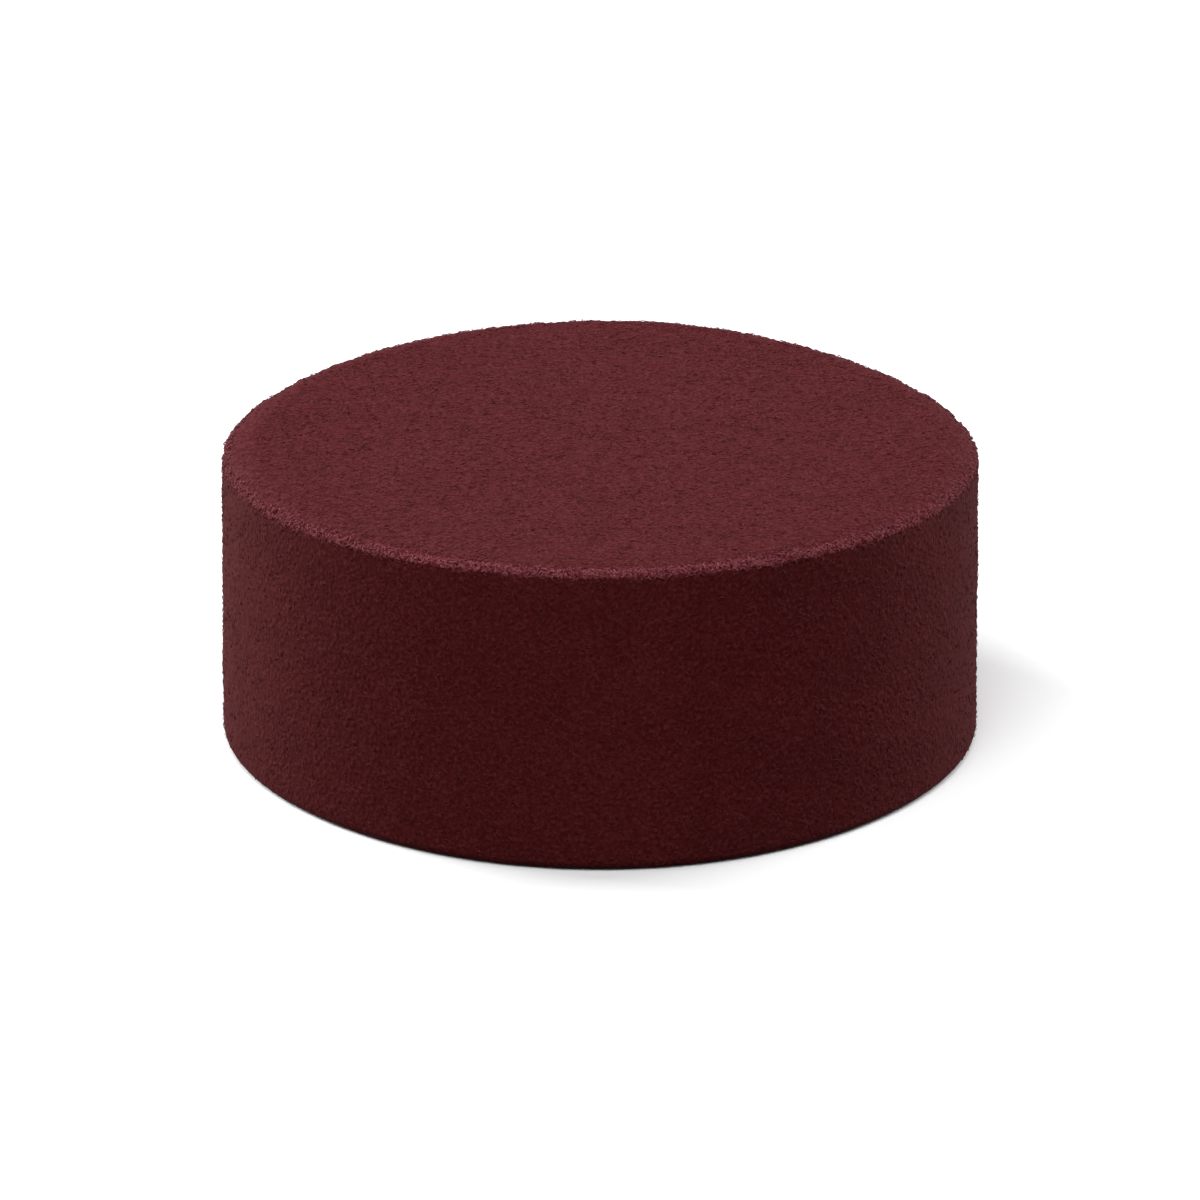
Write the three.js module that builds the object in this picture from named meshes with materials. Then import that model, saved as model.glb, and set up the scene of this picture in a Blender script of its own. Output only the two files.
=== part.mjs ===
// A short round mud cake, uncut, iced smooth and sprayed all over with a dry velvet coat of cocoa butter.
// It is one solid, in millimetres, +Z up, with the origin at the centre of its flat base.
import * as THREE from "three";

// Driving dimensions, in millimetres
const RIM_RADIUS = 105; // of the wall where it meets the top edge
const FOOT_RADIUS = 106.3; // of the wall just above the base, where the icing settles a little wider
const HEIGHT = 86;
const EDGE_RADIUS = 2.2; // the tight rounding from the edge's crest down into the wall
const FOOT_ROUNDING = 3;

// The softer rounding that the palette knife leaves between top and crest, which differs round the cake
const SHOULDER_RADIUS = { front: 5, sides: 14, back: 9 };

// How far the hand-shaped cake is out of round: how far each whole number of lobes, counted from the front,
// stands out, in millimetres. The single lobe keeps the cake centred on its origin.
const OUT_OF_ROUND = [
  { lobes: 1, size: 0.5 },
  { lobes: 3, size: -0.5 },
  { lobes: 4, size: 0.8 },
];

// Relief, in millimetres
const BEAD_HEIGHT = 0.6; // the spray builds up into a lumpy bead on the edge's crest
const UNEVENNESS = 0.3; // of the hand-smoothed icing below the coat
const FADE_HEIGHT = 20; // above the foot, over which the unevenness comes in

// How far the surface leans from level, in radians: on the wall, on the base, and at the crest, where the
// shoulder ends and the edge starts. The bead fades out over its spread on either side of the crest.
const OUTWARDS = Math.PI / 2;
const DOWNWARDS = Math.PI;
const CREST_TILT = Math.PI / 4;
const BEAD_SPREAD = Math.PI / 7;

// Whole numbers of crests round the cake for each kind of unevenness
const BEAD_CRESTS = [23, 31, 38, 47];
const SURFACE_CRESTS = [2, 3, 5, 8];
const TWIST = 2.5; // how far round, in radians, the unevenness drifts from the foot to the top

const SEGMENTS = 160;
const TOP_RINGS = [22, 44, 64, 82];
const SHOULDER_STEPS = 5;
const EDGE_STEPS = 4;
const WALL_STEPS = 7;
const FOOT_STEPS = 3;
const GOLDEN_ANGLE = Math.PI * (3 - Math.sqrt(5));

// Points of an arc of the outline about a centre at one radius and height, from one lean to another
function arc(centreRadius, centreHeight, radius, fromTilt, toTilt, steps) {
  return Array.from({ length: steps + 1 }, (_, step) => {
    const tilt = fromTilt + ((toTilt - fromTilt) * step) / steps;
    return {
      radius: centreRadius + radius * Math.sin(tilt),
      height: centreHeight + radius * Math.cos(tilt),
      tilt,
    };
  });
}

// The shoulder's radius in one direction: a mean, a wave with one crest round the cake and one with two,
// which together pass through the three named radii
function shoulderRadius(angle) {
  const { front, sides, back } = SHOULDER_RADIUS;
  const ends = (front + back) / 2;
  const lean = ((front - back) / 2) * Math.cos(angle);
  return (ends + sides) / 2 + lean + ((ends - sides) / 2) * Math.cos(2 * angle);
}

// The outline for one shoulder radius, from the middle of the base, round the foot, up the wall and over the
// edge to the middle of the top. It is put together from the top down and then reversed, so that the turned
// body faces outwards.
function outline(shoulder) {
  const softer = shoulder - EDGE_RADIUS;
  const edgeRadius = RIM_RADIUS - EDGE_RADIUS;
  const edgeHeight = HEIGHT - shoulder + softer * Math.cos(CREST_TILT);
  const levelRadius = edgeRadius - softer * Math.sin(CREST_TILT);
  const footRadius = FOOT_RADIUS - FOOT_ROUNDING;
  const middle = { radius: 0, height: 0, tilt: DOWNWARDS };
  const level = [0, ...TOP_RINGS].map((radius) => ({ radius, height: HEIGHT, tilt: 0 }));
  const rounding = arc(levelRadius, HEIGHT - shoulder, shoulder, 0, CREST_TILT, SHOULDER_STEPS);
  const edge = arc(edgeRadius, edgeHeight, EDGE_RADIUS, CREST_TILT, OUTWARDS, EDGE_STEPS).slice(1);
  const foot = arc(footRadius, FOOT_ROUNDING, FOOT_ROUNDING, OUTWARDS, DOWNWARDS, FOOT_STEPS);
  const wall = Array.from({ length: WALL_STEPS - 1 }, (_, step) => {
    const down = (step + 1) / WALL_STEPS;
    return {
      radius: THREE.MathUtils.lerp(RIM_RADIUS, FOOT_RADIUS, down),
      height: THREE.MathUtils.lerp(edgeHeight, FOOT_ROUNDING, down),
      tilt: OUTWARDS,
    };
  });
  return [...level, ...rounding, ...edge, ...wall, ...foot, middle].reverse();
}

// The mean of some waves that run round the cake, from -1 to 1. Their phases step by the golden angle.
function waves(angle, crests) {
  const sum = crests.reduce((total, count, k) => total + Math.cos(count * angle + k * GOLDEN_ANGLE), 0);
  return sum / crests.length;
}

// How far the coat stands out from the plain outline at a point: a long unevenness, which fades out towards
// the middle of the top and at the foot, and the lumps of the bead, which stand on the crest.
function relief(point, angle) {
  const drift = (TWIST * point.height) / HEIGHT;
  const aboveFoot = THREE.MathUtils.clamp((point.height - FOOT_ROUNDING) / FADE_HEIGHT, 0, 1);
  const share = Math.min(1, point.radius / RIM_RADIUS) * aboveFoot;
  const fromCrest = (point.tilt - CREST_TILT) / BEAD_SPREAD;
  const lump = 0.5 + 0.5 * waves(angle, BEAD_CRESTS);
  const bead = BEAD_HEIGHT * Math.max(0, 1 - fromCrest ** 2) * lump;
  return bead + UNEVENNESS * share * waves(angle + drift, SURFACE_CRESTS);
}

// How much wider the cake is than its plain outline in one direction, as a share of the radius
function widening(angle) {
  const out = OUT_OF_ROUND.reduce((total, { lobes, size }) => total + size * Math.cos(lobes * angle), 0);
  return out / RIM_RADIUS;
}

// An outline turned into a closed body, each of whose rows then moves to the outline and the width that the
// cake has in that direction, and along its own lean by the relief
function cakeGeometry() {
  const rows = outline(SHOULDER_RADIUS.front);
  const geometry = new THREE.LatheGeometry(rows.map((p) => new THREE.Vector2(p.radius, p.height)), SEGMENTS);
  const position = geometry.attributes.position;
  for (let segment = 0; segment <= SEGMENTS; segment += 1) {
    const angle = (2 * Math.PI * (segment % SEGMENTS)) / SEGMENTS;
    outline(shoulderRadius(angle)).forEach((point, row) => {
      const out = relief(point, angle);
      const radius = point.radius * (1 + widening(angle)) + out * Math.sin(point.tilt);
      const height = point.height + out * Math.cos(point.tilt);
      const index = segment * rows.length + row;
      position.setXYZ(index, radius * Math.sin(angle), height, radius * Math.cos(angle));
    });
  }
  geometry.rotateX(Math.PI / 2);
  geometry.computeVertexNormals();
  return geometry;
}

const velvetCoat = new THREE.MeshStandardMaterial({ color: 0x5b2a2e, roughness: 0.95, metalness: 0 });

const cake = new THREE.Mesh(cakeGeometry(), velvetCoat);
cake.name = "cake";

const model = new THREE.Group();
model.add(cake);

export default model;
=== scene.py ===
import math

import bpy
import numpy as np
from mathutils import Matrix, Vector


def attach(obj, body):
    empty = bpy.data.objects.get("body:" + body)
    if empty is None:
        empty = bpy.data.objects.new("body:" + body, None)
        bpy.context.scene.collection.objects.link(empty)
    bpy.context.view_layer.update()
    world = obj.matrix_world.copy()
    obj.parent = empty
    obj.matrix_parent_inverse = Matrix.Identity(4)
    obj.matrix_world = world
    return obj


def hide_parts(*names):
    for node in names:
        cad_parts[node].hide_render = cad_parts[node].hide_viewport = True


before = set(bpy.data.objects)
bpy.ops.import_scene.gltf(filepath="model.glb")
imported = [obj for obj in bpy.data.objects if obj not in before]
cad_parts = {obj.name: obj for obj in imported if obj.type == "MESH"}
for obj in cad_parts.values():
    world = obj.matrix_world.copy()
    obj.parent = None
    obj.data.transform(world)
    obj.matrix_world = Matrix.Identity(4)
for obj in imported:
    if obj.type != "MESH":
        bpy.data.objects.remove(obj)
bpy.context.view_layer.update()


# ---------------------------------------------------------------------------------------------------------
# The velvet cake
# Layers of mud cake, iced by hand into a short round drum, frozen, and sprayed with warm red cocoa butter,
# which freezes at once into a dry nap of curled grains and pits, with a lumpy bead along the edge's crest.
# The coated cake is made as like sectors that share their borders.
# ---------------------------------------------------------------------------------------------------------

MM = 0.001
RIM_RADIUS = 105 * MM  # of the wall where it meets the top edge
FOOT_RADIUS = 106.3 * MM  # of the wall just above the base, where the icing settles a little wider
HEIGHT = 86 * MM
EDGE_RADIUS = 2.2 * MM  # the tight rounding from the edge's crest down into the wall
FOOT_ROUNDING = 3 * MM

# The softer rounding that the palette knife leaves between top and crest, which differs round the cake
SHOULDER_FRONT = 5 * MM
SHOULDER_SIDES = 14 * MM
SHOULDER_BACK = 9 * MM

# How far the hand-shaped cake is out of round: for each whole number of lobes, how far they stand out
OUT_OF_ROUND = {1: 0.5 * MM, 3: -0.5 * MM, 4: 0.8 * MM}
UNEVENNESS = 0.3 * MM  # of the hand-smoothed icing
FADE_HEIGHT = 20 * MM  # above the foot, over which the unevenness comes in
SURFACE_CRESTS = [2, 3, 5, 8]  # whole numbers of crests round the cake
TWIST = 2.5  # how far round, in radians, the unevenness drifts from the foot to the top
BEAD_HEIGHT = 0.6 * MM
BEAD_CRESTS = [23, 31, 38, 47]

# How far the surface leans from level: on the wall, on the base, and at the crest of the edge. The bead
# fades out over its spread on either side of the crest.
OUTWARDS = math.pi / 2
DOWNWARDS = math.pi
CREST_TILT = math.pi / 4
BEAD_SPREAD = math.pi / 7
GOLDEN_ANGLE = math.pi * (3 - math.sqrt(5))

# The grid of points over each sector, whose cells are as high as they are wide at the rim
SECTORS = 10
COLUMNS = 180  # cells across a sector, below the level top
SPACING = 2 * math.pi * RIM_RADIUS / (SECTORS * COLUMNS)
LEVEL_ROWS = math.ceil(SECTORS * COLUMNS / (2 * math.pi))
SHOULDER_ROWS = math.ceil(SHOULDER_SIDES * CREST_TILT / SPACING)
EDGE_ROWS = 10
WALL_ROWS = math.ceil((HEIGHT - FOOT_ROUNDING) / SPACING)
FOOT_ROWS = math.ceil(FOOT_ROUNDING * OUTWARDS / SPACING)


def arc(centre_radius, centre_height, radius, from_tilt, to_tilt, steps):
    """Outline points (radius, height, tilt) along an arc about a centre: for each tilt from level, the
    centre plus the arc's radius times the sine outwards and times the cosine upwards."""
    tilt = np.linspace(from_tilt, to_tilt, steps + 1)
    return np.stack([centre_radius + radius * np.sin(tilt), centre_height + radius * np.cos(tilt), tilt], 1)


def outline(shoulder):
    """The rows of the outline from the middle of the top to the base, for one shoulder radius: the level
    top, the shoulder's arc, the edge's arc, a straight wall that widens downwards, and the foot's arc."""
    softer = shoulder - EDGE_RADIUS
    edge_centre = RIM_RADIUS - EDGE_RADIUS
    edge_height = HEIGHT - shoulder + softer * math.cos(CREST_TILT)
    level_radius = edge_centre - softer * math.sin(CREST_TILT)
    level = np.zeros((LEVEL_ROWS, 3))
    level[:, 0] = np.arange(LEVEL_ROWS) / LEVEL_ROWS * level_radius
    level[:, 1] = HEIGHT
    rounding = arc(level_radius, HEIGHT - shoulder, shoulder, 0, CREST_TILT, SHOULDER_ROWS)
    edge = arc(edge_centre, edge_height, EDGE_RADIUS, CREST_TILT, OUTWARDS, EDGE_ROWS)
    wall_top = np.array([RIM_RADIUS, edge_height, OUTWARDS])
    wall_foot = np.array([FOOT_RADIUS, FOOT_ROUNDING, OUTWARDS])
    down = np.arange(1, WALL_ROWS)[:, None] / WALL_ROWS
    wall = wall_top + (wall_foot - wall_top) * down
    foot_centre = FOOT_RADIUS - FOOT_ROUNDING
    foot = arc(foot_centre, FOOT_ROUNDING, FOOT_ROUNDING, OUTWARDS, DOWNWARDS, FOOT_ROWS)
    return np.concatenate([level, rounding, edge[1:], wall, foot])


def shoulder_radius(angle):
    """The shoulder's radius in one direction: a mean, a wave with one crest round the cake and one with
    two, which together pass through the three named radii."""
    ends = (SHOULDER_FRONT + SHOULDER_BACK) / 2
    lean = (SHOULDER_FRONT - SHOULDER_BACK) / 2 * np.cos(angle)
    return (ends + SHOULDER_SIDES) / 2 + lean + (ends - SHOULDER_SIDES) / 2 * np.cos(2 * angle)


def waves(angle, crests):
    """The mean of cosine waves that run round the cake, from -1 to 1, their phases a golden angle apart."""
    return sum(np.cos(count * angle + k * GOLDEN_ANGLE) for k, count in enumerate(crests)) / len(crests)


def unevenness(radius, height, angle):
    """How far the smoothed icing stands out: slow waves round the cake that drift with the height, and fade
    out towards the middle of the top and at the foot."""
    share = np.minimum(1, radius / RIM_RADIUS) * np.clip((height - FOOT_ROUNDING) / FADE_HEIGHT, 0, 1)
    return UNEVENNESS * share * waves(angle + TWIST * height / HEIGHT, SURFACE_CRESTS)


def on_cake(radius, height, tilt, angle, relief):
    """Outline points turned about the cake's axis, out of round, and moved by the relief along their tilt.
    Angles count from the front (-Y) towards the right (+X)."""
    widening = sum(size * np.cos(lobes * angle) for lobes, size in OUT_OF_ROUND.items()) / RIM_RADIUS
    reach = radius * (1 + widening) + relief * np.sin(tilt)
    return np.stack([reach * np.sin(angle), -reach * np.cos(angle), height + relief * np.cos(tilt)], 1)


def bead(tilt, angle):
    """How far the bead stands out: a parabola over the tilt, which falls from 1 on the crest to 0 at the
    spread, times the lumps, which come and go round the cake between 0 and the bead's height."""
    nearness = np.clip(1 - ((tilt - CREST_TILT) / BEAD_SPREAD) ** 2, 0, 1)
    return BEAD_HEIGHT * nearness * (0.5 + 0.5 * waves(angle, BEAD_CRESTS))


def crest_band(tilt, angle, middle, reach):
    """How near the middle of a band along the crest a point lies: 1 on it, falling as a parabola to 0 at
    the reach. Both are distances along the outline, counted downwards from the crest: the tilt beyond the
    crest's times the radius of the shoulder above it or of the edge below it."""
    distance = (tilt - CREST_TILT) * np.where(tilt < CREST_TILT, shoulder_radius(angle), EDGE_RADIUS)
    return np.clip(1 - ((distance - middle) / reach) ** 2, 0, 1)


# Random fields are sums of this many waves, whose lengths lie between these shares of the field's pitch
WAVES = 72
SHORTEST_WAVE, LONGEST_WAVE = 0.8, 1.25


def mist(points, pitch, seed):
    """An even random field through space and its twin a quarter wave on: the sums of the cosines and of the
    sines of waves in random directions, about one pitch long, scaled to a deviation of 1."""
    rng = np.random.default_rng(seed)
    direction = rng.normal(size=(3, WAVES))
    direction /= np.linalg.norm(direction, axis=0)
    length = pitch * rng.uniform(SHORTEST_WAVE, LONGEST_WAVE, WAVES)
    phase = rng.uniform(0, 2 * math.pi, WAVES)
    turn = points @ (direction * (2 * math.pi / length)) + phase
    scale = math.sqrt(2 / WAVES)
    return np.cos(turn).sum(1) * scale, np.sin(turn).sum(1) * scale


CURL_PITCH = 2.0 * MM  # of the field whose zero lines the curled grains of the nap follow
CURL_WIDTH = 0.75  # of a grain, as a share of the wave's height
CURL_HEIGHT = 0.25 * MM
CURL_SUNK = 0.4  # the share of a grain's height that lies below the smooth cake's surface
BREAK_PITCH = 1.5 * MM  # of the field that breaks the grains into short lengths
BREAK_DEPTH = 0.3  # how far that field raises and lowers them, as a share of their full height
PIT_PITCH = 1.6 * MM
PIT_DEPTH = 0.19 * MM
PIT_ONSET = 1.2  # how many deviations below its mean the field of the pits is at a pit's rim
SMOOTH_LEVEL = 0.45  # how high the smooth cake's surface lies in the nap, from 0 in a pit to 1 on a tip
CREST_GROWTH = 1.6  # how much higher than on the top the grains stand on the crest
WALL_NAP = 0.28  # how high the nap stands on the wall, which the spray only grazes, as a share of the top's
NAP_FADE = 1.6 * MM  # above the base, over which the nap comes in

# Bands along the crest where the nap stands higher, and where the painted highlight is strongest: the
# distance of the band's middle from the crest, downwards along the outline, and how far the band reaches to
# either side
NAP_MIDDLE, NAP_REACH = -0.4 * MM, 2.8 * MM
HIGHLIGHT_MIDDLE, HIGHLIGHT_REACH = -1.2 * MM, 2.0 * MM

# Painted highlight: a paler coat colour on the top, the shoulder and the crest stands in for the overhead
# light's reflection
TOP_HIGHLIGHT = 0.2  # how strong the painted highlight is on the level top, where the crest is about 1 and the wall 0
SHOULDER_HIGHLIGHT = 0.8  # how much paler the painted highlight makes the tightest shoulder, and softer ones less
CREST_HIGHLIGHT = 0.3  # how much paler still the painted highlight makes the middle of the band along the crest
EDGE_FALL = 4  # the power by which the shoulder's painted highlight fades faster below the crest than above it


def nap(points, tilt, angle):
    """The coat's relief and how high each point lies in it, from 0 in a pit to 1 on a tip. Curled grains
    are ridges on the zero lines of a random wave, a Gaussian of the wave over its own height, which a
    second field breaks into short lengths. Pits are where a third is lowest. The nap stands lower on the
    wall, by the squared sine of the tilt, and higher in a band along the crest."""
    wave, twin = mist(points, CURL_PITCH, seed=12)
    unbroken = 1 - BREAK_DEPTH + BREAK_DEPTH * np.tanh(mist(points, BREAK_PITCH, seed=11)[0])
    curls = np.exp(-((wave / np.hypot(wave, twin) / CURL_WIDTH) ** 2)) * unbroken
    pits = np.clip(-mist(points, PIT_PITCH, seed=13)[0] - PIT_ONSET, 0, 1)
    coat = CURL_HEIGHT * (curls - CURL_SUNK) - PIT_DEPTH * pits
    nap_height = np.clip(SMOOTH_LEVEL + coat / CURL_HEIGHT, 0, 1)
    crest = crest_band(tilt, angle, NAP_MIDDLE, NAP_REACH)
    growth = 1 + (WALL_NAP - 1) * np.sin(tilt) ** 2 + CREST_GROWTH * crest
    return coat * growth, nap_height


def painted_highlight_share(tilt, angle):
    """How strong the painted highlight is, a paler coat colour that stands in for the overhead light's
    reflection: most on the shoulder, as the sine of twice the tilt and the less the softer it is, less on
    the top, as the squared cosine of the tilt, and more in a band along the crest."""
    over_shoulder = np.clip(np.sin(2 * tilt), 0, 1) ** np.where(tilt < CREST_TILT, 1, EDGE_FALL)
    over_shoulder *= SHOULDER_FRONT / shoulder_radius(angle)
    painted_highlight = TOP_HIGHLIGHT * np.cos(tilt) ** 2 + SHOULDER_HIGHLIGHT * over_shoulder
    return painted_highlight + CREST_HIGHLIGHT * crest_band(tilt, angle, HIGHLIGHT_MIDDLE, HIGHLIGHT_REACH)


def row_layout():
    """How many points each row of a sector holds, each point's row, and how far across the sector it lies,
    from 0 to 1. The level top's rows grow evenly from 1 point on the axis, rounded up, and each row below
    it holds one point more than there are columns."""
    rows_below = SHOULDER_ROWS + EDGE_ROWS + WALL_ROWS + FOOT_ROWS + 1
    level = 1 + np.ceil(np.arange(LEVEL_ROWS) * COLUMNS / LEVEL_ROWS).astype(int)
    counts = np.append(level, np.full(rows_below, COLUMNS + 1))
    row = np.repeat(np.arange(len(counts)), counts)
    column = np.arange(counts.sum()) - np.repeat(np.cumsum(counts) - counts, counts)
    return counts, row, column / np.maximum(counts[row] - 1, 1)


def sector_faces(counts):
    """Faces of a sector that look outwards: triangles on the level top, two to each step along a row and
    one more where the next row holds one point more, quads below it, and three flat many-sided faces that
    close it along both borders and below."""
    first = np.cumsum(counts) - counts
    row = np.repeat(np.arange(LEVEL_ROWS), counts[:LEVEL_ROWS])
    here = np.arange(len(row))
    below = here - first[row] + first[row + 1]
    inner = here < first[row + 1] - 1
    widens = counts[row + 1] > counts[row]
    widening = np.stack([here, below, below + 1], 1)[inner | widens]
    narrowing = np.stack([here, below + 1, here + 1], 1)[inner]
    start = np.repeat(first[LEVEL_ROWS:-1], COLUMNS)
    cell = start + np.tile(np.arange(COLUMNS), len(first) - LEVEL_ROWS - 1)
    next_row = cell + COLUMNS + 1
    quads = np.stack([cell, next_row, next_row + 1, cell + 1], 1)
    axis = counts.sum()  # the point on the cake's axis at the base
    right = first + counts - 1
    closing = [
        np.append(first, axis)[::-1],
        np.append(right, axis),
        np.append(np.arange(first[-1], first[-1] + COLUMNS + 1), axis),
    ]
    return widening, narrowing, quads, closing


def face_normal_sums(points, *faces):
    """For each point, the sum of the normals of the faces round it, each as long as twice its face's area:
    the cross product of a triangle's first two sides, or of a quad's diagonals."""
    sums = np.zeros_like(points)
    for group in faces:
        corner = points[group]
        if group.shape[1] == 3:
            normal = np.cross(corner[:, 1] - corner[:, 0], corner[:, 2] - corner[:, 0])
        else:
            normal = np.cross(corner[:, 2] - corner[:, 0], corner[:, 3] - corner[:, 1])
        for axis in range(3):
            weights = np.repeat(normal[:, axis], group.shape[1])
            sums[:, axis] += np.bincount(group.ravel(), weights, len(points))
    return sums


def coat_points(number):
    """The points of one sector, how high each lies in the nap, and how strong its painted highlight is.
    Each row lies between its place at the tightest and at the softest shoulder, and the closing point on
    the base comes last."""
    _, row, across = row_layout()
    angle = (number + across) * (2 * math.pi / SECTORS)
    tight, soft = outline(SHOULDER_FRONT), outline(SHOULDER_SIDES)
    softness = ((shoulder_radius(angle) - SHOULDER_FRONT) / (SHOULDER_SIDES - SHOULDER_FRONT))[:, None]
    radius, height, tilt = (tight[row] + (soft - tight)[row] * softness).T
    relief, nap_height = nap(on_cake(radius, height, tilt, angle, 0), tilt, angle)
    relief *= np.clip(height / NAP_FADE, 0, 1)
    relief += bead(tilt, angle)
    relief += unevenness(radius, height, angle)
    points = on_cake(radius, height, tilt, angle, relief)
    painted_highlight = painted_highlight_share(tilt, angle)
    return np.append(points, [[0, 0, 0]], 0), np.append(nap_height, 0.5), np.append(painted_highlight, 0)


def coat_normals(sectors, faces, counts):
    """The coat's normals on every sector, of length 1: the sums over the faces round each point, added up
    where two sectors meet, so that no seam shows between them, and straight up or down on the axis."""
    left = np.cumsum(counts) - counts
    right = left + counts - 1
    normals = np.stack([face_normal_sums(points, *faces) for points, _, _ in sectors])
    shared = normals[:, right] + np.roll(normals, -1, 0)[:, left]
    normals[:, right] = shared
    normals[:, left] = np.roll(shared, 1, 0)
    normals[:, -1] = (0, 0, -1)
    normals[:, 0] = (0, 0, 1)
    return normals / np.linalg.norm(normals, axis=2, keepdims=True)


def sector_mesh(name, points, normals, faces, closing):
    """One sector of the coated cake as a closed mesh with its own normals."""
    corners = np.concatenate([*[group.ravel() for group in faces], *closing])
    sizes = np.repeat([group.shape[1] for group in faces], [len(group) for group in faces])
    sizes = np.append(sizes, [len(face) for face in closing])
    starts = np.cumsum(sizes) - sizes
    mesh = bpy.data.meshes.new(name)
    mesh.vertices.add(len(points))
    mesh.vertices.foreach_set("co", points.astype(np.float32).ravel())
    mesh.loops.add(len(corners))
    mesh.loops.foreach_set("vertex_index", corners.astype(np.int32))
    mesh.polygons.add(len(sizes))
    mesh.polygons.foreach_set("loop_start", starts.astype(np.int32))
    mesh.update(calc_edges=True)
    mesh.normals_split_custom_set_from_vertices(normals)
    return mesh


def put_on_cake(mesh, nap_height, painted_highlight, material):
    """Makes a mesh into a piece that rides on the cake's body, with the two values at each point that its
    material reads."""
    for name, values in (("nap_height", nap_height), ("painted_highlight", painted_highlight)):
        stored = mesh.attributes.new(name, "FLOAT", "POINT")
        stored.data.foreach_set("value", values.astype(np.float32))
    mesh.materials.append(material)
    piece = bpy.data.objects.new(mesh.name, mesh)
    bpy.context.scene.collection.objects.link(piece)
    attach(piece, "root")
    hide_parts("cake")


def noise(tree, place, pitch, detail=0.0):
    """A noise texture with cells one pitch wide, around 0.5."""
    texture = tree.nodes.new("ShaderNodeTexNoise")
    texture.inputs["Scale"].default_value = 1 / pitch
    texture.inputs["Detail"].default_value = detail
    tree.links.new(place, texture.inputs["Vector"])
    return texture.outputs["Fac"]


def stretched(tree, value, from_low, from_high, to_low=0.0, to_high=1.0):
    """A value's range stretched evenly to another range, and held at its ends."""
    stretch = tree.nodes.new("ShaderNodeMapRange")
    tree.links.new(value, stretch.inputs["Value"])
    stretch.inputs["From Min"].default_value = from_low
    stretch.inputs["From Max"].default_value = from_high
    stretch.inputs["To Min"].default_value = to_low
    stretch.inputs["To Max"].default_value = to_high
    return stretch.outputs["Result"]


def worked_out(tree, operation, *values):
    """The result of a Math node, whose inputs are plain numbers or the outputs of other nodes."""
    node = tree.nodes.new("ShaderNodeMath")
    node.operation = operation
    for socket, value in zip(node.inputs, values):
        if isinstance(value, (int, float)):
            socket.default_value = value
        else:
            tree.links.new(value, socket)
    return node.outputs["Value"]


def between(tree, share, first, second):
    """A mix of two colours, by the share that the second one has in it."""
    mix = tree.nodes.new("ShaderNodeMix")
    mix.data_type = "RGBA"
    tree.links.new(share, mix.inputs["Factor"])
    tree.links.new(first, mix.inputs[6])
    tree.links.new(second, mix.inputs[7])
    return mix.outputs[2]


THREAD_PITCH = 1.3 * MM  # of the noise whose middle value the fine threads follow
THREAD_DETAIL = 0.5
THREAD_WIDTH = 0.055  # how far from its middle value that noise is at a thread's border
THREAD_BREAK = 0.9 * MM  # of the noise that breaks the threads up
BROKEN, UNBROKEN = 0.42, 0.54  # values of that noise where a thread has gone, and where it is whole
FINE_PIT_PITCH = 0.9 * MM
FINE_PIT_RIM, FINE_PIT_FLOOR = 0.34, 0.26  # values of the pits' noise at their rims and at their floors
BLOTCH_PITCH = 14 * MM
BLOTCH_DETAIL = 3
BLOTCH_LOW, BLOTCH_HIGH = 0.3, 0.7  # values of the blotches' noise where they are darkest and palest
BLOTCH_STRENGTH = 0.06

# How much the mesh's own nap and the fine threads and pits between them make the coat paler or darker:
# painted shade down in the nap and in the pits, painted highlight on the nap's tips
NAP_SHADE_AND_HIGHLIGHT = 0.55
THREAD_PALENESS = 0.5
PIT_SHADE = 0.6

BUMP_HEIGHT = 0.09 * MM
GRAZED_BUMP = 0.5  # how high the threads stand on the wall, as a share of the top's


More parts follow.
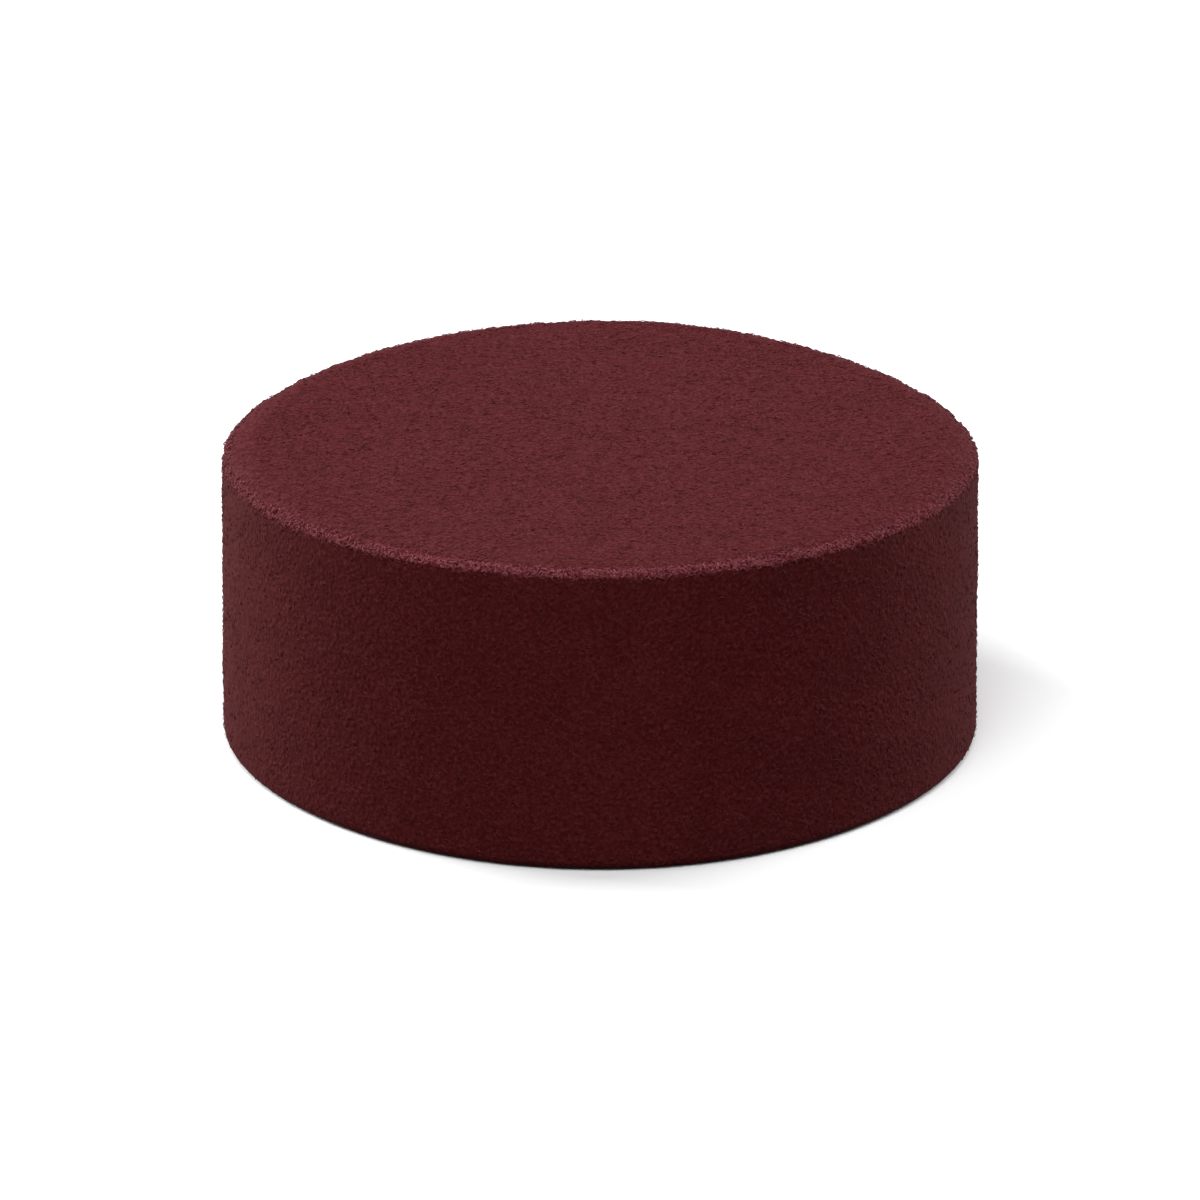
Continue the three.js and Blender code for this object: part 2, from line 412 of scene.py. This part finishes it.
def velvet_pattern():
    """The shader node group that both velvet materials use. Fine threads lie on the zero lines of a noise,
    broken up by another, with small pits between them. The coat is darker down in the nap and in the pits,
    which is painted shade, and paler on its tips, which is painted highlight; the painted highlight of the
    top, shoulder and crest moves it from its plain to its highlit colours, under faint blotches. It puts
    out colour and normal."""
    tree = bpy.data.node_groups.new("velvet pattern", "ShaderNodeTree")
    tree.interface.new_socket("Place", in_out="INPUT", socket_type="NodeSocketVector")
    for name in ("Nap Height", "Painted Highlight"):
        tree.interface.new_socket(name, in_out="INPUT", socket_type="NodeSocketFloat")
    for name in ("Plain Pit", "Plain Tip", "Highlit Pit", "Highlit Tip"):
        tree.interface.new_socket(name, in_out="INPUT", socket_type="NodeSocketColor")
    tree.interface.new_socket("Colour", in_out="OUTPUT", socket_type="NodeSocketColor")
    tree.interface.new_socket("Normal", in_out="OUTPUT", socket_type="NodeSocketVector")
    given = tree.nodes.new("NodeGroupInput").outputs
    result = tree.nodes.new("NodeGroupOutput").inputs
    place = given["Place"]

    thread_noise = noise(tree, place, THREAD_PITCH, THREAD_DETAIL)
    from_line = worked_out(tree, "ABSOLUTE", worked_out(tree, "SUBTRACT", thread_noise, 0.5))
    broken = stretched(tree, noise(tree, place, THREAD_BREAK), BROKEN, UNBROKEN)
    threads = worked_out(tree, "MULTIPLY", stretched(tree, from_line, THREAD_WIDTH, 0.0), broken)
    pits = stretched(tree, noise(tree, place, FINE_PIT_PITCH), FINE_PIT_RIM, FINE_PIT_FLOOR)

    # Painted shade and highlight: darker down in the nap and in the pits, paler on the nap's tips and on
    # the threads
    paleness = worked_out(tree, "MULTIPLY", given["Nap Height"], NAP_SHADE_AND_HIGHLIGHT)
    paleness = worked_out(tree, "MULTIPLY_ADD", threads, THREAD_PALENESS, paleness)
    paleness = worked_out(tree, "SUBTRACT", paleness, worked_out(tree, "MULTIPLY", pits, PIT_SHADE))
    paleness = stretched(tree, paleness, 0.0, 1.0)
    plain_colour = between(tree, paleness, given["Plain Pit"], given["Plain Tip"])
    highlit_colour = between(tree, paleness, given["Highlit Pit"], given["Highlit Tip"])
    coat = between(tree, given["Painted Highlight"], plain_colour, highlit_colour)
    blotch_noise = noise(tree, place, BLOTCH_PITCH, BLOTCH_DETAIL)
    darkest, palest = 1 - BLOTCH_STRENGTH, 1 + BLOTCH_STRENGTH
    blotches = stretched(tree, blotch_noise, BLOTCH_LOW, BLOTCH_HIGH, darkest, palest)
    tinted = tree.nodes.new("ShaderNodeVectorMath")
    tinted.operation = "SCALE"
    tree.links.new(coat, tinted.inputs["Vector"])
    tree.links.new(blotches, tinted.inputs["Scale"])
    tree.links.new(tinted.outputs["Vector"], result["Colour"])

    bump = tree.nodes.new("ShaderNodeBump")
    bump.inputs["Strength"].default_value = 1.0
    bump.inputs["Distance"].default_value = BUMP_HEIGHT
    grazed = stretched(tree, given["Painted Highlight"], 0.0, TOP_HIGHLIGHT, GRAZED_BUMP, 1.0)
    fine_relief = worked_out(tree, "MULTIPLY", worked_out(tree, "SUBTRACT", threads, pits), grazed)
    tree.links.new(fine_relief, bump.inputs["Height"])
    tree.links.new(bump.outputs["Normal"], result["Normal"])
    return tree


def velvet_material(name, pattern, colours):
    """Matt dark red cocoa butter with a faint reddish sheen: the pattern in its own colours, on Object
    coordinates and the piece's two values."""
    material = bpy.data.materials.new(name)
    material.use_nodes = True
    tree = material.node_tree
    shader = tree.nodes["Principled BSDF"]
    shader.inputs["Roughness"].default_value = 0.75
    shader.inputs["IOR"].default_value = 1.45
    shader.inputs["Specular IOR Level"].default_value = 0.05
    shader.inputs["Sheen Weight"].default_value = 0.05
    shader.inputs["Sheen Roughness"].default_value = 0.3
    shader.inputs["Sheen Tint"].default_value = (1.0, 0.45, 0.5, 1)

    group = tree.nodes.new("ShaderNodeGroup")
    group.node_tree = pattern
    for socket, colour in colours.items():
        group.inputs[socket].default_value = (*colour, 1)
    place = tree.nodes.new("ShaderNodeTexCoord")
    tree.links.new(place.outputs["Object"], group.inputs["Place"])
    for attribute_name, socket in (("nap_height", "Nap Height"), ("painted_highlight", "Painted Highlight")):
        attribute = tree.nodes.new("ShaderNodeAttribute")
        attribute.attribute_name = attribute_name
        tree.links.new(attribute.outputs["Fac"], group.inputs[socket])
    tree.links.new(group.outputs["Colour"], shader.inputs["Base Color"])
    tree.links.new(group.outputs["Normal"], shader.inputs["Normal"])
    return material


# The coat's plain and highlit colours for pits and tips: the darker pits are painted shade, the paler tips
# painted highlight, and the highlit pair carries the painted highlight of the top, shoulder and crest
COAT_COLOURS = {
    "Plain Pit": (0.045, 0.0034, 0.0040),
    "Plain Tip": (0.085, 0.0158, 0.0180),
    "Highlit Pit": (0.056, 0.0040, 0.0056),
    "Highlit Tip": (0.172, 0.0465, 0.0640),
}

pattern = velvet_pattern()
velvet = velvet_material("velvet coat", pattern, COAT_COLOURS)
row_counts, _, _ = row_layout()
*coat_faces, closing_faces = sector_faces(row_counts)
sectors = [coat_points(number) for number in range(SECTORS)]
normals = coat_normals(sectors, coat_faces, row_counts)
for number, (points, nap_height, painted_highlight) in enumerate(sectors):
    mesh = sector_mesh(f"velvet_sector_{number + 1}", points, normals[number], coat_faces, closing_faces)
    put_on_cake(mesh, nap_height, painted_highlight, velvet)


# ---------------------------------------------------------------------------------------------------------
# The curled grains
# Drops of the spray that freeze just before they land stay on the coat as short curled grains, partly sunk
# in it. They crowd on the crest, stand up on the top and lie along the wall. Each kind is one joined piece.
# ---------------------------------------------------------------------------------------------------------

GRAIN_RINGS = 4
GRAIN_SIDES = 3
GRAIN_POINTS = GRAIN_RINGS * GRAIN_SIDES
GRAIN_TURN = 2.4  # how far the grain that bends most turns, in radians
LEAST_TURN = 0.4  # of the grain that bends least, as a share of that
SHORTEST_GRAIN, LONGEST_GRAIN = 0.6, 1.3  # as shares of the length of their kind
GRAIN_TAPER = 0.6  # how much thinner the ends are than the middle
GRAIN_LIFT = 0.08 * MM  # of both ends over the coat
GRAIN_TIP = 0.20 * MM  # how much further one end may lift
FOOT_CLEARANCE = 1.5 * MM  # between the lowest grains and the base

# How many grains each kind has, how thick and how long they are, and how far out of the coat they may stand
KINDS = {
    "crest": (3000, 0.38 * MM, 1.4 * MM, math.pi / 3),
    "top": (9500, 0.28 * MM, 1.3 * MM, math.pi / 3),
    "wall": (8000, 0.25 * MM, 1.3 * MM, math.pi / 6),
}
CROWD_MIDDLE, CROWD_REACH = -0.8 * MM, 1.9 * MM  # of the band along the crest where grains crowd
CROWD_FALL = 4  # the power by which grains grow fewer where the top or the wall turns away
PLACES_SEED = 100  # of the first kind's places, where its shapes have the seed 0


def grain_points(feet, outward, thickness, length, standing, seed):
    """The rings of each grain's tube, as an array of grains by rings by sides. A grain follows an arc of a
    circle, both ends on the coat and the middle bent away from the line between them, along the coat or,
    by up to the standing angle, out of it. One end lifts a little, and both ends taper."""
    rng = np.random.default_rng(seed)
    count = len(feet)
    along = np.cross(outward, rng.normal(size=(count, 3)))
    along /= np.linalg.norm(along, axis=1, keepdims=True)
    stand = rng.uniform(0, standing, (count, 1))
    bent_to = np.cross(outward, along) * np.cos(stand) + outward * np.sin(stand)
    turn = GRAIN_TURN * rng.uniform(LEAST_TURN, 1, (count, 1, 1))
    bend_radius = length * rng.uniform(SHORTEST_GRAIN, LONGEST_GRAIN, (count, 1, 1)) / turn
    share = np.linspace(-0.5, 0.5, GRAIN_RINGS)[:, None]
    bend = turn * share
    along, bent_to, up = along[:, None], bent_to[:, None], outward[:, None]
    lift = GRAIN_LIFT + GRAIN_TIP * rng.uniform(0, 1, (count, 1, 1)) * (share + 0.5)
    arch = np.cos(bend) - np.cos(turn / 2)
    centre = feet[:, None] + bend_radius * (np.sin(bend) * along + arch * bent_to) + lift * up
    inner = np.sin(bend) * along + np.cos(bend) * bent_to
    side = np.cross(along, bent_to)
    around = 2 * math.pi * np.arange(GRAIN_SIDES)[:, None] / GRAIN_SIDES
    ring = np.cos(around) * inner[:, :, None] + np.sin(around) * side[:, :, None]
    radius = thickness / 2 * (1 - GRAIN_TAPER * (2 * share) ** 2)
    return centre[:, :, None] + radius[:, :, None] * ring


def grain_faces(count):
    """The faces of that many closed tubes: quads between neighbouring rings, and a triangle at each end."""
    ring = np.arange(GRAIN_RINGS - 1)[:, None] * GRAIN_SIDES
    next_ring = ring + GRAIN_SIDES
    side, after = np.arange(GRAIN_SIDES), np.roll(np.arange(GRAIN_SIDES), -1)
    quads = np.stack([ring + side, ring + after, next_ring + after, next_ring + side], -1).reshape(-1, 4)
    last = (GRAIN_RINGS - 1) * GRAIN_SIDES
    ends = np.array([side[::-1], last + side])
    first = np.arange(count)[:, None, None] * GRAIN_POINTS
    return (quads + first).reshape(-1, 4), (ends + first).reshape(-1, GRAIN_SIDES)


def grain_mesh(name, points):
    """All grains of one kind as one joined mesh."""
    quads, ends = grain_faces(len(points))
    mesh = bpy.data.meshes.new(name)
    mesh.from_pydata(points.reshape(-1, 3), [], [*quads.tolist(), *ends.tolist()], shade_flat=True)
    return mesh


# Painted light: the grains are paler than the coat, standing in for light through the thin grains and on
# their shaded fronts
PAINTED_LIT_GRAIN_COLOURS = {
    "Plain Pit": (0.072, 0.0115, 0.0120),
    "Plain Tip": (0.114, 0.0260, 0.0280),
    "Highlit Pit": (0.118, 0.0215, 0.0270),
    "Highlit Tip": (0.280, 0.0820, 0.0980),
}

painted_lit_grain_velvet = velvet_material("curled grains", pattern, PAINTED_LIT_GRAIN_COLOURS)
_, row, across = row_layout()
lean = np.tile(outline(SHOULDER_FRONT)[row, 2], SECTORS)
angle = ((np.arange(SECTORS)[:, None] + across) * (2 * math.pi / SECTORS)).ravel()
surface = np.concatenate([points[:-1] for points, _, _ in sectors])
surface_highlight = np.concatenate([painted_highlight[:-1] for _, _, painted_highlight in sectors])
outward = np.stack([np.sin(lean) * np.sin(angle), -np.sin(lean) * np.cos(angle), np.cos(lean)], 1)
on_wall = (lean > CREST_TILT) & (surface[:, 2] > FOOT_CLEARANCE)
crowding = {
    "crest": crest_band(lean, angle, CROWD_MIDDLE, CROWD_REACH),
    "top": np.clip(np.cos(lean), 0, 1) ** CROWD_FALL,
    "wall": on_wall * np.sin(lean) ** CROWD_FALL,
}
for seed, (kind, (count, thickness, length, standing)) in enumerate(KINDS.items()):
    rng = np.random.default_rng(PLACES_SEED + seed)
    chance = crowding[kind] / crowding[kind].sum()
    chosen = rng.choice(len(surface), count, replace=False, p=chance)
    grains = grain_points(surface[chosen], outward[chosen], thickness, length, standing, seed)
    name = f"{kind}_grains"
    paleness = np.random.default_rng(len(name)).uniform(0, 1, count)
    nap_height = np.repeat(paleness, GRAIN_POINTS)
    # Painted highlight: each grain takes the coat's painted highlight where it stands
    painted_highlight = np.repeat(surface_highlight[chosen], GRAIN_POINTS)
    put_on_cake(grain_mesh(name, grains), nap_height, painted_highlight, painted_lit_grain_velvet)


# ---------------------------------------------------------------------------------------------------------
# The studio
# A plain pale floor that fades to white, a wide soft light overhead and a softer one on either side, white
# surroundings, and the camera, which looks down on the cake at the photograph's angle.
# ---------------------------------------------------------------------------------------------------------

FLOOR_SIZE = 8.0
FLOOR_COLOUR = (0.78, 0.78, 0.785, 1)
BOUNCE_COLOUR = (0.2, 0.2, 0.2, 1)  # of the floor in the light that it throws on the cake
SWEEP_START, SWEEP_END = 0.6, 1.6  # how far from the cake the floor starts to fade to white, and is white
SURROUNDINGS = 0.22  # how bright they are in their light on the cake, where the camera sees them as 1

# Each light's place, the length of its sides, and its power in watts
LIGHTS = {
    "key": ((-0.45, -2.2, 3.5), 2.6, 165),
    "left": ((-1.92, 0.98, 0.9), 1.2, 88),
    "right": ((1.92, 0.98, 0.9), 1.2, 60),
}

CAMERA_PLACE = (0, -1.578, 0.65576)
CAMERA_PITCH = math.radians(21.42)  # down from level
SENSOR_WIDTH, LENS = 36, 179.36  # in millimetres


def floor_material():
    """A plain pale floor, darker in the light that it throws on the cake, which glows ever whiter with the
    distance from the cake, for the camera only."""
    material = bpy.data.materials.new("pale floor")
    material.use_nodes = True
    tree = material.node_tree
    shader = tree.nodes["Principled BSDF"]
    shader.inputs["Roughness"].default_value = 0.9
    seen = tree.nodes.new("ShaderNodeLightPath").outputs["Is Camera Ray"]
    shade = tree.nodes.new("ShaderNodeMix")
    shade.data_type = "RGBA"
    shade.inputs[6].default_value = BOUNCE_COLOUR
    shade.inputs[7].default_value = FLOOR_COLOUR
    tree.links.new(seen, shade.inputs["Factor"])
    tree.links.new(shade.outputs[2], shader.inputs["Base Color"])
    distance = tree.nodes.new("ShaderNodeVectorMath")
    distance.operation = "LENGTH"
    place = tree.nodes.new("ShaderNodeTexCoord")
    tree.links.new(place.outputs["Object"], distance.inputs["Vector"])
    whiteness = stretched(tree, distance.outputs["Value"], SWEEP_START, SWEEP_END)
    shader.inputs["Emission Color"].default_value = (1, 1, 1, 1)
    tree.links.new(worked_out(tree, "MULTIPLY", whiteness, seen), shader.inputs["Emission Strength"])
    return material


def soft_light(name, place, size, power):
    """A square area light at a place, turned towards the middle of the cake."""
    light = bpy.data.lights.new(name, "AREA")
    light.size = size
    light.energy = power
    lamp = bpy.data.objects.new(name, light)
    lamp.location = place
    middle = Vector((0, 0, HEIGHT / 2))
    lamp.rotation_euler = (middle - lamp.location).to_track_quat("-Z", "Y").to_euler()
    bpy.context.scene.collection.objects.link(lamp)


bpy.ops.mesh.primitive_plane_add(size=FLOOR_SIZE, location=(0, 0, 0))
floor = bpy.context.object
floor.name = "studio_floor"
floor.data.materials.append(floor_material())

for name, (place, size, power) in LIGHTS.items():
    soft_light(name, place, size, power)

world = bpy.data.worlds.new("studio")
world.use_nodes = True
background = world.node_tree.nodes["Background"]
background.inputs["Color"].default_value = (1, 1, 1, 1)
world_ray = world.node_tree.nodes.new("ShaderNodeLightPath")
strength = stretched(world.node_tree, world_ray.outputs["Is Camera Ray"], 0, 1, SURROUNDINGS, 1)
world.node_tree.links.new(strength, background.inputs["Strength"])
bpy.context.scene.world = world
bpy.context.scene.view_settings.view_transform = "Standard"

camera_data = bpy.data.cameras.new("camera")
camera_data.sensor_width = SENSOR_WIDTH
camera_data.lens = LENS
camera = bpy.data.objects.new("camera", camera_data)
camera.location = CAMERA_PLACE
camera.rotation_euler = (math.pi / 2 - CAMERA_PITCH, 0, 0)
bpy.context.scene.collection.objects.link(camera)
bpy.context.scene.camera = camera
